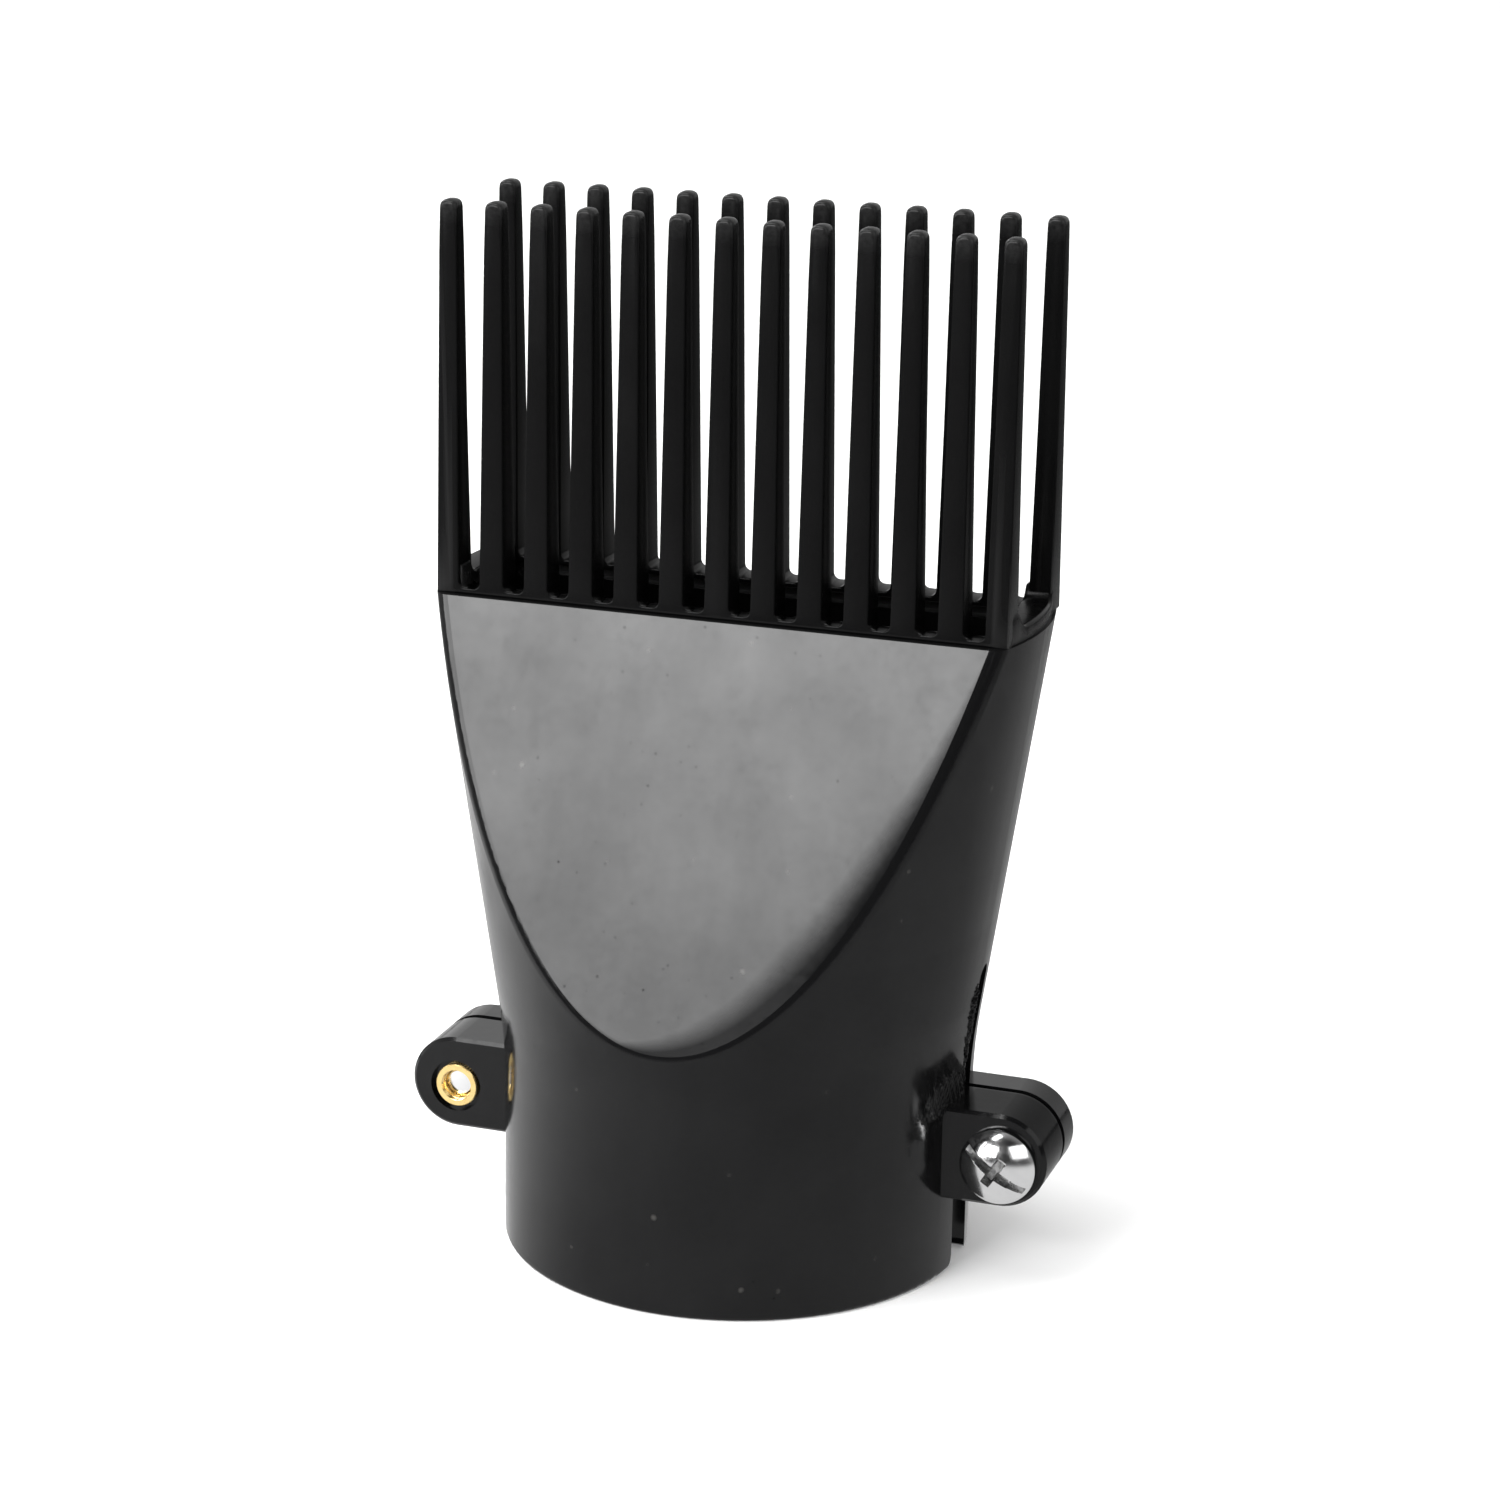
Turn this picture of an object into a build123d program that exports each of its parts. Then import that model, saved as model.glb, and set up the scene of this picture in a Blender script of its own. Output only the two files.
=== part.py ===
import os
from build123d import *

# Clip-on comb nozzle for a hair dryer. Millimetres, +Z up.
# The collar stands on z = 0, its axis is Z, and the tooth rows run along X.

# Collar that grips the dryer's barrel
COLLAR_R = 25.0
COLLAR_WALL = 2.5
BORE_TOP = 25.0
RIM_ROUND = 0.5

# Slits that let the collar close, one on each side
SLIT_W = 4.4
SLIT_Y = -0.3
SLIT_STEP_Z = 15.0
UPPER_SLIT_W = 2.8
UPPER_SLIT_Y = 1.1
SLIT_TOP = 33.0
SLIT_CORNER_R = 1.6

# Flared body: a cone cut by one sloping panel at the front and one at the rear
MOUTH_Z = 70.0
KNEE_Z = 22.0
KNEE_R = 60.0
MOUTH_R = 32.0
MOUTH_HALF_DEPTH = 10.4
PANEL_SLOPE = 0.373
RIDGE_ROUND = 1.6
WALL = 2.2

# Comb that closes the mouth
TEETH_PER_ROW = 13
TOOTH_PITCH = 4.92
TOOTH_TOP_Z = 110.5
COMB_BASE_H = 1.0
COMB_HALF_DEPTH = 9.3
TOOTH_BASE_W = 2.8
TOOTH_BASE_D = 3.3
TOOTH_TIP_W = 1.9
TOOTH_TIP_D = 2.0
TOOTH_LEAN = 0.3
TOOTH_EDGE_R = 0.35
SIDE_RAIL_H = 2.4
COMB_SIDE_INSET = 0.5
COMB_WALL = 1.6
COMB_PLUG_DEPTH = 7.0
PLUG_CLEARANCE = 0.12

# Clamp lugs
LUG_OUT = 5.5
LUG_Z = 14.1
LUG_R = 5.1
SCREW_OUT = 5.55
SCREW_Z = 13.7
LUG_ROOT_DEPTH = 1.8
LUG_GAP_FRONT_Y = 1.1
LUG_GAP = 0.9
FRONT_FACE_Y = -5.6
REAR_FACE_Y = 5.9
LUG_CHAMFER = 0.35

# Truss-head clamp screws (M3.5) and their brass inserts
SCREW_R = 1.75
THREAD_DEPTH = 0.3
HEAD_R = 4.05
HEAD_H = 2.3
HEAD_EDGE_H = 0.5
HEAD_GAP = 0.3
RECESS_W = 1.0
RECESS_SPAN = 4.6
RECESS_DEPTH = 1.2
SLOT_W = 0.9
SLOT_DEPTH = 0.7
HOLE_CLEARANCE = 0.3
RUNNING_CLEARANCE = 0.05
INSERT_WALL = 0.9
INSERT_L = 3.8
PRESS_OVERLAP = 0.03
INSERT_RECESS_RIM = 0.5
INSERT_RECESS_DEPTH = 0.8
INSERT_SET_BACK = 0.1
TIP_SET_BACK = 1.1
BORE_CHAMFER = 0.3

os.makedirs("parts", exist_ok=True)

bore_r = COLLAR_R - COLLAR_WALL
lug_x = COLLAR_R + LUG_OUT
screw_x = COLLAR_R + SCREW_OUT
lug_root_x = COLLAR_R - LUG_ROOT_DEPTH
lug_edge_x = COLLAR_R + 0.5
lug_end_x = lug_x + LUG_R + 0.1
thread_r = SCREW_R - THREAD_DEPTH
insert_r = thread_r + RUNNING_CLEARANCE + INSERT_WALL
insert_recess_r = insert_r + INSERT_RECESS_RIM
rear_lug_front_y = LUG_GAP_FRONT_Y + LUG_GAP
panel_slant = (1.0 + PANEL_SLOPE ** 2) ** 0.5
inner_half_depth = MOUTH_HALF_DEPTH - WALL * panel_slant
inner_mouth_r = MOUTH_R - WALL
big = 2.0 * MOUTH_R


def cone_profile(low_r, top_r, knee_z, low_z):
    """Half section of a straight collar that flares above knee_z."""
    Polygon(
        (0, low_z), (low_r, low_z), (low_r, knee_z), (top_r, MOUTH_Z), (0, MOUTH_Z),
        align=None,
    )


def beyond_panel(half_depth, sign):
    """Side section of everything outside the front or the rear panel plane."""
    foot = half_depth + PANEL_SLOPE * MOUTH_Z
    Polygon(
        (sign * half_depth, MOUTH_Z), (sign * foot, 0), (sign * big, 0), (sign * big, MOUTH_Z),
        align=None,
    )


def lug_outline(sign):
    """D-shaped lug seen from the front; sign is +1 for the right side."""
    with Locations((sign * (lug_root_x + lug_x) / 2.0, LUG_Z)):
        Rectangle(lug_x - lug_root_x, 2.0 * LUG_R)
    with Locations((sign * lug_x, LUG_Z)):
        Circle(LUG_R)


# Air space inside the two shells
with BuildPart() as air_space:
    with BuildSketch(Plane.XZ):
        cone_profile(bore_r, inner_mouth_r, BORE_TOP, 0)
    revolve(axis=Axis.Z)
    for sign in (-1, 1):
        with BuildSketch(Plane.YZ):
            beyond_panel(inner_half_depth, sign)
        extrude(amount=big, both=True, mode=Mode.SUBTRACT)

# Whole flared body before it is parted into its two shells
with BuildPart() as body:
    with BuildSketch(Plane.XZ) as section:
        cone_profile(COLLAR_R, MOUTH_R, KNEE_Z, 0)
        fillet(section.vertices().sort_by_distance((COLLAR_R, KNEE_Z))[0], KNEE_R)
    revolve(axis=Axis.Z)
    for sign in (-1, 1):
        with BuildSketch(Plane.YZ):
            beyond_panel(MOUTH_HALF_DEPTH, sign)
        extrude(amount=big, both=True, mode=Mode.SUBTRACT)
    panels = body.faces().filter_by(GeomType.PLANE).filter_by(lambda face: 0.1 < face.normal_at().Z < 0.9)
    ridges = panels.edges().filter_by(GeomType.LINE, reverse=True)
    fillet(ridges, RIDGE_ROUND)
    add(air_space.part, mode=Mode.SUBTRACT)
    rim = body.edges().filter_by_position(Axis.Z, -0.01, 0.01)
    fillet(rim, RIM_ROUND)
    with BuildSketch(Plane.YZ):
        with Locations((SLIT_Y, SLIT_CORNER_R / 2.0)):
            Rectangle(SLIT_W + 2.0 * SLIT_CORNER_R, SLIT_CORNER_R)
        for sign in (-1, 1):
            with Locations((SLIT_Y + sign * (SLIT_W / 2.0 + SLIT_CORNER_R), SLIT_CORNER_R)):
                Circle(SLIT_CORNER_R, mode=Mode.SUBTRACT)
        with Locations((SLIT_Y, SLIT_STEP_Z / 2.0)):
            Rectangle(SLIT_W, SLIT_STEP_Z)
        with Locations((UPPER_SLIT_Y, SLIT_TOP / 2.0)):
            RectangleRounded(UPPER_SLIT_W, SLIT_TOP, UPPER_SLIT_W / 2.0 - 0.1)
    extrude(amount=big, both=True, mode=Mode.SUBTRACT)

# Front shell, with the two thick lugs
with BuildPart() as front_shell:
    add(body.part)
    split(bisect_by=Plane.XZ, keep=Keep.TOP)
    with BuildSketch(Plane.XZ.offset(-FRONT_FACE_Y)):
        for sign in (-1, 1):
            lug_outline(sign)
    extrude(amount=FRONT_FACE_Y - LUG_GAP_FRONT_Y)
    lug_face = front_shell.edges().filter_by_position(Axis.Y, FRONT_FACE_Y - 0.01, FRONT_FACE_Y + 0.01)
    right_outer = lug_face.filter_by_position(Axis.X, lug_edge_x, lug_end_x)
    left_outer = lug_face.filter_by_position(Axis.X, -lug_end_x, -lug_edge_x)
    chamfer(right_outer + left_outer, LUG_CHAMFER)
    # right lug: clearance hole for the screw that enters from the front
    with BuildSketch(Plane.XZ.offset(-FRONT_FACE_Y)):
        with Locations((screw_x, SCREW_Z)):
            Circle(SCREW_R + HOLE_CLEARANCE)
    extrude(amount=FRONT_FACE_Y - LUG_GAP_FRONT_Y, mode=Mode.SUBTRACT)
    # left lug: seat and recess for the insert, then a clearance hole behind it
    with BuildSketch(Plane.XZ.offset(-FRONT_FACE_Y)):
        with Locations((-screw_x, SCREW_Z)):
            Circle(SCREW_R + HOLE_CLEARANCE)
    extrude(amount=FRONT_FACE_Y - LUG_GAP_FRONT_Y, mode=Mode.SUBTRACT)
    with BuildSketch(Plane.XZ.offset(-FRONT_FACE_Y)):
        with Locations((-screw_x, SCREW_Z)):
            Circle(insert_r - PRESS_OVERLAP)
    extrude(amount=-(INSERT_SET_BACK + INSERT_L), mode=Mode.SUBTRACT)
    with BuildSketch(Plane.XZ.offset(-FRONT_FACE_Y)):
        with Locations((-screw_x, SCREW_Z)):
            Circle(insert_recess_r)
    extrude(amount=-INSERT_RECESS_DEPTH, mode=Mode.SUBTRACT)

# Rear shell, with the two thin lugs
with BuildPart() as rear_shell:
    add(body.part)
    split(bisect_by=Plane.XZ, keep=Keep.BOTTOM)
    with BuildSketch(Plane.XZ.offset(-rear_lug_front_y)):
        for sign in (-1, 1):
            lug_outline(sign)
    extrude(amount=rear_lug_front_y - REAR_FACE_Y)
    lug_face = rear_shell.edges().filter_by_position(Axis.Y, REAR_FACE_Y - 0.01, REAR_FACE_Y + 0.01)
    right_outer = lug_face.filter_by_position(Axis.X, lug_edge_x, lug_end_x)
    left_outer = lug_face.filter_by_position(Axis.X, -lug_end_x, -lug_edge_x)
    chamfer(right_outer + left_outer, LUG_CHAMFER)
    # left lug: clearance hole for the screw that enters from the rear
    with BuildSketch(Plane.XZ.offset(-rear_lug_front_y)):
        with Locations((-screw_x, SCREW_Z)):
            Circle(SCREW_R + HOLE_CLEARANCE)
    extrude(amount=rear_lug_front_y - REAR_FACE_Y, mode=Mode.SUBTRACT)
    # right lug: through seat for the insert, with a recess at the back
    with BuildSketch(Plane.XZ.offset(-rear_lug_front_y)):
        with Locations((screw_x, SCREW_Z)):
            Circle(insert_r - PRESS_OVERLAP)
    extrude(amount=rear_lug_front_y - REAR_FACE_Y, mode=Mode.SUBTRACT)
    with BuildSketch(Plane.XZ.offset(-REAR_FACE_Y)):
        with Locations((screw_x, SCREW_Z)):
            Circle(insert_recess_r)
    extrude(amount=INSERT_RECESS_DEPTH, mode=Mode.SUBTRACT)


def comb_outline(inset, half_depth):
    """Mouth outline: straight front and rear, bulged sides."""
    round_side = Circle(MOUTH_R - inset, mode=Mode.PRIVATE)
    flat_side = Rectangle(big, 2.0 * half_depth, mode=Mode.PRIVATE)
    add(round_side & flat_side)


comb_inner_depth = COMB_HALF_DEPTH - TOOTH_BASE_D
plug_half_depth = inner_half_depth - PLUG_CLEARANCE
plug_foot_r = inner_mouth_r - COMB_PLUG_DEPTH * (inner_mouth_r - bore_r) / (MOUTH_Z - BORE_TOP)
plug_inset = MOUTH_R - plug_foot_r + PLUG_CLEARANCE
tooth_root_z = MOUTH_Z + COMB_BASE_H
tooth_mid_y = COMB_HALF_DEPTH - TOOTH_BASE_D / 2.0
end_x = TOOTH_PITCH * (TEETH_PER_ROW - 1) / 2.0
comb_hole_w = 2.0 * end_x - TOOTH_BASE_W
plug_hole_w = comb_hole_w - COMB_WALL

# Comb: base plate, plug that fits the mouth, two side rails and 26 teeth
with BuildPart() as comb:
    with BuildSketch(Plane.XY.offset(MOUTH_Z)):
        comb_outline(COMB_SIDE_INSET, COMB_HALF_DEPTH)
        Rectangle(comb_hole_w, 2.0 * comb_inner_depth, mode=Mode.SUBTRACT)
    extrude(amount=COMB_BASE_H)
    with BuildSketch(Plane.XY.offset(MOUTH_Z)):
        comb_outline(plug_inset, plug_half_depth)
        Rectangle(plug_hole_w, 2.0 * (plug_half_depth - COMB_WALL), mode=Mode.SUBTRACT)
    extrude(amount=-COMB_PLUG_DEPTH)
    with BuildSketch(Plane.XY.offset(MOUTH_Z)):
        comb_outline(COMB_SIDE_INSET, COMB_HALF_DEPTH)
        Rectangle(2.0 * end_x + TOOTH_TIP_W, 2.0 * COMB_HALF_DEPTH, mode=Mode.SUBTRACT)
    extrude(amount=SIDE_RAIL_H)
    for row in (-1, 1):
        for index in range(TEETH_PER_ROW):
            x = TOOTH_PITCH * index - end_x
            with BuildSketch(Plane.XY.offset(MOUTH_Z)):
                with Locations((x, row * tooth_mid_y)):
                    RectangleRounded(TOOTH_BASE_W, TOOTH_BASE_D, TOOTH_EDGE_R)
            with BuildSketch(Plane.XY.offset(TOOTH_TOP_Z - TOOTH_TIP_W / 2.0)):
                with Locations((x, row * (tooth_mid_y - TOOTH_LEAN))):
                    RectangleRounded(TOOTH_TIP_W, TOOTH_TIP_D, TOOTH_EDGE_R)
            loft()
            with BuildSketch(Plane.XY.offset(TOOTH_TOP_Z - TOOTH_TIP_W / 2.0)):
                with Locations((x, row * (tooth_mid_y - TOOTH_LEAN))):
                    RectangleRounded(TOOTH_TIP_W, TOOTH_TIP_D, TOOTH_EDGE_R)
            with BuildSketch(Plane.XY.offset(TOOTH_TOP_Z)):
                with Locations((x, row * (tooth_mid_y - TOOTH_LEAN))):
                    RectangleRounded(TOOTH_TIP_W / 2.0, TOOTH_TIP_D / 2.0, TOOTH_EDGE_R)
            loft()


def screw_section(shank_l, thread_l):
    """Half section of a truss-head screw: head below zero, shank above."""
    Polygon(
        (0, -HEAD_H),
        (HEAD_R * 0.45, -HEAD_H),
        (HEAD_R * 0.8, -HEAD_H * 0.68),
        (HEAD_R, -HEAD_EDGE_H),
        (HEAD_R, 0),
        (SCREW_R, 0),
        (SCREW_R, shank_l),
        (thread_r, shank_l + SCREW_R - thread_r),
        (thread_r, shank_l + thread_l - BORE_CHAMFER),
        (thread_r - BORE_CHAMFER, shank_l + thread_l),
        (0, shank_l + thread_l),
        align=None,
    )


def driver_recess():
    """Cross recess with a slot across the whole head."""
    Rectangle(RECESS_SPAN, RECESS_W)
    Rectangle(RECESS_W, RECESS_SPAN)


left_insert_back = FRONT_FACE_Y + INSERT_SET_BACK + INSERT_L
right_insert_back = REAR_FACE_Y - INSERT_SET_BACK - INSERT_L
left_head_y = REAR_FACE_Y + HEAD_GAP
right_head_y = FRONT_FACE_Y - HEAD_GAP
left_shank_l = left_head_y - left_insert_back - HOLE_CLEARANCE - SCREW_R + thread_r
left_thread_l = left_head_y - left_shank_l - FRONT_FACE_Y - TIP_SET_BACK
right_shank_l = right_insert_back - right_head_y - HOLE_CLEARANCE - SCREW_R + thread_r
right_thread_l = REAR_FACE_Y - TIP_SET_BACK - right_head_y - right_shank_l

# Left clamp screw, head at the rear
with BuildPart() as left_screw:
    with BuildSketch(Plane((-screw_x, left_head_y, SCREW_Z), x_dir=(1, 0, 0), z_dir=(0, 0, -1))):
        screw_section(left_shank_l, left_thread_l)
    revolve(axis=Axis((-screw_x, left_head_y, SCREW_Z), (0, 1, 0)))
    with BuildSketch(Plane.XZ.offset(-(left_head_y + HEAD_H))):
        with Locations((-screw_x, SCREW_Z)):
            driver_recess()
    extrude(amount=RECESS_DEPTH, mode=Mode.SUBTRACT)
    with BuildSketch(Plane.XZ.offset(-(left_head_y + HEAD_H))):
        with Locations((-screw_x, SCREW_Z)):
            Rectangle(2.0 * HEAD_R, SLOT_W)
    extrude(amount=SLOT_DEPTH, mode=Mode.SUBTRACT)

# Right clamp screw, head at the front
with BuildPart() as right_screw:
    with BuildSketch(Plane((screw_x, right_head_y, SCREW_Z), x_dir=(1, 0, 0), z_dir=(0, 0, 1))):
        screw_section(right_shank_l, right_thread_l)
    revolve(axis=Axis((screw_x, right_head_y, SCREW_Z), (0, 1, 0)))
    with BuildSketch(Plane.XZ.offset(-(right_head_y - HEAD_H))):
        with Locations((screw_x, SCREW_Z)):
            driver_recess()
    extrude(amount=-RECESS_DEPTH, mode=Mode.SUBTRACT)
    with BuildSketch(Plane.XZ.offset(-(right_head_y - HEAD_H))):
        with Locations((screw_x, SCREW_Z)):
            Rectangle(2.0 * HEAD_R, SLOT_W)
    extrude(amount=-SLOT_DEPTH, mode=Mode.SUBTRACT)

# Left insert, pressed in from the front
with BuildPart() as left_insert:
    with BuildSketch(Plane.XZ.offset(-(FRONT_FACE_Y + INSERT_SET_BACK))):
        with Locations((-screw_x, SCREW_Z)):
            Circle(insert_r)
            Circle(thread_r + RUNNING_CLEARANCE, mode=Mode.SUBTRACT)
    extrude(amount=-INSERT_L)
    mouth_y = FRONT_FACE_Y + INSERT_SET_BACK
    chamfer(left_insert.edges().filter_by_position(Axis.Y, mouth_y - 0.01, mouth_y + 0.01), BORE_CHAMFER)

# Right insert, pressed in from the rear
with BuildPart() as right_insert:
    with BuildSketch(Plane.XZ.offset(-(REAR_FACE_Y - INSERT_SET_BACK))):
        with Locations((screw_x, SCREW_Z)):
            Circle(insert_r)
            Circle(thread_r + RUNNING_CLEARANCE, mode=Mode.SUBTRACT)
    extrude(amount=INSERT_L)
    mouth_y = REAR_FACE_Y - INSERT_SET_BACK
    chamfer(right_insert.edges().filter_by_position(Axis.Y, mouth_y - 0.01, mouth_y + 0.01), BORE_CHAMFER)

front_shell.part.label = "front_shell"
rear_shell.part.label = "rear_shell"
comb.part.label = "comb"
left_screw.part.label = "left_screw"
right_screw.part.label = "right_screw"
left_insert.part.label = "left_insert"
right_insert.part.label = "right_insert"

export_step(front_shell.part, "parts/front_shell.step")
export_step(rear_shell.part, "parts/rear_shell.step")
export_step(comb.part, "parts/comb.step")
export_step(left_screw.part, "parts/left_screw.step")
export_step(right_screw.part, "parts/right_screw.step")
export_step(left_insert.part, "parts/left_insert.step")
export_step(right_insert.part, "parts/right_insert.step")
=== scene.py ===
import math

import bmesh
import bpy
from mathutils import Matrix, Vector

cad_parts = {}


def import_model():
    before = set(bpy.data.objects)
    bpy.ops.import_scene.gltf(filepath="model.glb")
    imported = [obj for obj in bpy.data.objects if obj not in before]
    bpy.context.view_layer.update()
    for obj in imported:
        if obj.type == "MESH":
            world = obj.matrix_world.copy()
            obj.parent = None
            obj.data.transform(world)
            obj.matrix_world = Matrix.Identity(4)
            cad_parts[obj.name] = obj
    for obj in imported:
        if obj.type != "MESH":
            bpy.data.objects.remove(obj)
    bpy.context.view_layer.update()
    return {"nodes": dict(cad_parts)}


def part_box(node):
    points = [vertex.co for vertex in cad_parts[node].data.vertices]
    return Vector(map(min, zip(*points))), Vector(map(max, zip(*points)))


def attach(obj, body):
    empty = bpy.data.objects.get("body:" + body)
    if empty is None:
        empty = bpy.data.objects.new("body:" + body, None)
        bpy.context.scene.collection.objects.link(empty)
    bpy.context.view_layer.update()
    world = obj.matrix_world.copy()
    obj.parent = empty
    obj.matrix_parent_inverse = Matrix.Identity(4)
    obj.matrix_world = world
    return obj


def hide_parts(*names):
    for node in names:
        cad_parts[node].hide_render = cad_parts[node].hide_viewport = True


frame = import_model()
MM = 0.001
BODY = "nozzle"


# ---------------------------------------------------------------- mesh helpers
def new_object(name, verts, faces, smooth_deg=35.0):
    """A mesh object from millimetre coordinates, smooth below the given edge angle."""
    mesh = bpy.data.meshes.new(name)
    mesh.from_pydata([(x * MM, y * MM, z * MM) for x, y, z in verts], [], faces)
    bm = bmesh.new()
    bm.from_mesh(mesh)
    bmesh.ops.remove_doubles(bm, verts=bm.verts, dist=1e-7)
    bmesh.ops.recalc_face_normals(bm, faces=bm.faces)
    bm.to_mesh(mesh)
    bm.free()
    for poly in mesh.polygons:
        poly.use_smooth = True
    mesh.set_sharp_from_angle(angle=math.radians(smooth_deg))
    obj = bpy.data.objects.new(name, mesh)
    bpy.context.scene.collection.objects.link(obj)
    return obj


def bridge(faces, ring_a, ring_b, closed=True):
    """Quads between two rings of vertex numbers."""
    count = len(ring_a)
    for i in range(count if closed else count - 1):
        j = (i + 1) % count
        faces.append((ring_a[i], ring_a[j], ring_b[j], ring_b[i]))


def centre(node):
    low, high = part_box(node)
    return (Vector(low) + Vector(high)) / (2 * MM)


# ---------------------------------------------------------------- comb
PITCH = 4.92
TEETH = 13
END_X = PITCH * (TEETH - 1) / 2
ROOT_Z = 70.6
TOP_Z = 110.5
MOUTH_Z = 70.0
BASE_HALF_W = 1.32
SLOT_CORNER = 0.7
TIP_HALF_W = 0.95
TIP_SQUARENESS = 0.72
EDGE_ROUND = 0.17
TIP_ROUND = 0.42
FLOOR_SLOPE = 0.42
REAR_ROW_SHIFT = 0.35


def lerp(a, b, t):
    return a + (b - a) * t


def row_depth(z):
    """Outer and inner distance of a tooth row from the middle plane."""
    t = (z - MOUTH_Z) / (TOP_Z - MOUTH_Z)
    root = max(0.0, min(1.0, (88.0 - z) / 16.0))
    return lerp(9.3, 8.3, t), lerp(6.0, 6.35, t) - 0.3 * root


def row_outline():
    """Outline of one tooth row in X and Z, anticlockwise from its lower left corner."""
    tip_z = TOP_Z - TIP_HALF_W
    points = []
    outer_base = END_X + TIP_HALF_W + 0.15
    points.append((-outer_base, MOUTH_Z))
    for i in range(TEETH):
        x = PITCH * i - END_X
        left_base = outer_base if i == 0 else BASE_HALF_W - x
        right_base = outer_base if i == TEETH - 1 else BASE_HALF_W + x
        for k in range(1, 9):
            t = k / 9
            z = lerp(ROOT_Z + SLOT_CORNER, tip_z, t)
            points.append((lerp(-left_base, x - TIP_HALF_W, t), z))
        for k in range(0, 13):
            a = math.pi * (1 - k / 12)
            c, s = math.cos(a), math.sin(a)
            points.append((x + TIP_HALF_W * math.copysign(abs(c) ** TIP_SQUARENESS, c),
                           tip_z + TIP_HALF_W * s ** TIP_SQUARENESS))
        for k in range(1, 9):
            t = 1 - k / 9
            z = lerp(ROOT_Z + SLOT_CORNER, tip_z, t)
            points.append((lerp(right_base, x + TIP_HALF_W, t), z))
        if i < TEETH - 1:
            left = x + BASE_HALF_W + SLOT_CORNER
            right = x + PITCH - BASE_HALF_W - SLOT_CORNER
            for middle, start in ((left, 1.0), (right, 1.5)):
                for k in range(0, 7):
                    a = math.pi * (start + k / 12)
                    points.append((middle + SLOT_CORNER * math.cos(a),
                                   ROOT_Z + SLOT_CORNER + SLOT_CORNER * math.sin(a)))
    points.append((outer_base, MOUTH_Z))
    for k in range(1, 40):
        points.append((lerp(outer_base, -outer_base, k / 40), MOUTH_Z))
    return points


def tooth_row(name, side, shift):
    """One row of teeth on its base strip; side is -1 for the front row, shift moves it in X."""
    outline = row_outline()
    count = len(outline)
    normals = []
    for i in range(count):
        ax, az = outline[i - 1]
        bx, bz = outline[(i + 1) % count]
        dx, dz = bx - ax, bz - az
        length = math.hypot(dx, dz) or 1.0
        normals.append((-dz / length, dx / length))
    area = sum(outline[i - 1][0] * outline[i][1] - outline[i][0] * outline[i - 1][1] for i in range(count))
    turn = 1 if area > 0 else -1
    verts, faces, rings = [], [], []
    steps = 4
    for face in (0, 1):
        order = range(steps, -1, -1) if face == 0 else range(0, steps + 1)
        for k in order:
            phi = k / steps * math.pi / 2
            ring = []
            for (x, z), (nx, nz) in zip(outline, normals):
                near_tip = max(0.0, min(1.0, (z - TOP_Z + 2.6) / 2.4))
                b = lerp(EDGE_ROUND, TIP_ROUND, near_tip)
                inset = b * (1 - math.cos(phi))
                depth = b * (1 - math.sin(phi))
                px, pz = x + nx * inset * turn, z + nz * inset * turn
                outer, inner = row_depth(z)
                y = outer - depth if face == 0 else inner + depth
                if side < 0 and z < ROOT_Z + SLOT_CORNER and z > MOUTH_Z + 0.1:
                    pz -= FLOOR_SLOPE * (outer - y) * (1 - (z - ROOT_Z) / SLOT_CORNER)
                ring.append(len(verts))
                verts.append((px + shift, side * y, pz))
            rings.append(ring)
    for a, b in zip(rings, rings[1:]):
        bridge(faces, a, b)
    faces.append(tuple(rings[0]))
    faces.append(tuple(reversed(rings[-1])))
    return new_object(name, verts, faces, 32)


def side_rail(name, side):
    """Rail that joins the end teeth of both rows, with a rounded notch between them."""
    side_r = 31.6
    inner_x = 28.1
    verts, faces, rings = [], [], []
    stations = 64
    for j in range(stations + 1):
        y = lerp(-8.7, 8.7, j / stations)
        outer_x = math.sqrt(side_r ** 2 - y * y)
        rise = max(0.0, abs(y) - 4.3)
        height = 71.5 + (1.9 - math.sqrt(max(0.0, 1.9 ** 2 - min(rise, 1.85) ** 2)))
        b = 0.45
        section = [(outer_x, MOUTH_Z), (outer_x, height - b)]
        for k in range(1, 5):
            a = k / 4 * math.pi / 2
            section.append((outer_x - b + b * math.cos(a), height - b + b * math.sin(a)))
        for k in range(0, 5):
            a = math.pi / 2 + k / 4 * math.pi / 2
            section.append((inner_x + b + b * math.cos(a), height - b + b * math.sin(a)))
        section.append((inner_x, MOUTH_Z))
        ring = []
        for x, z in section:
            ring.append(len(verts))
            verts.append((side * x, y, z))
        rings.append(ring)
    for a, b in zip(rings, rings[1:]):
        bridge(faces, a, b)
    faces.append(tuple(rings[0]))
    faces.append(tuple(reversed(rings[-1])))
    return new_object(name, verts, faces, 40)


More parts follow.
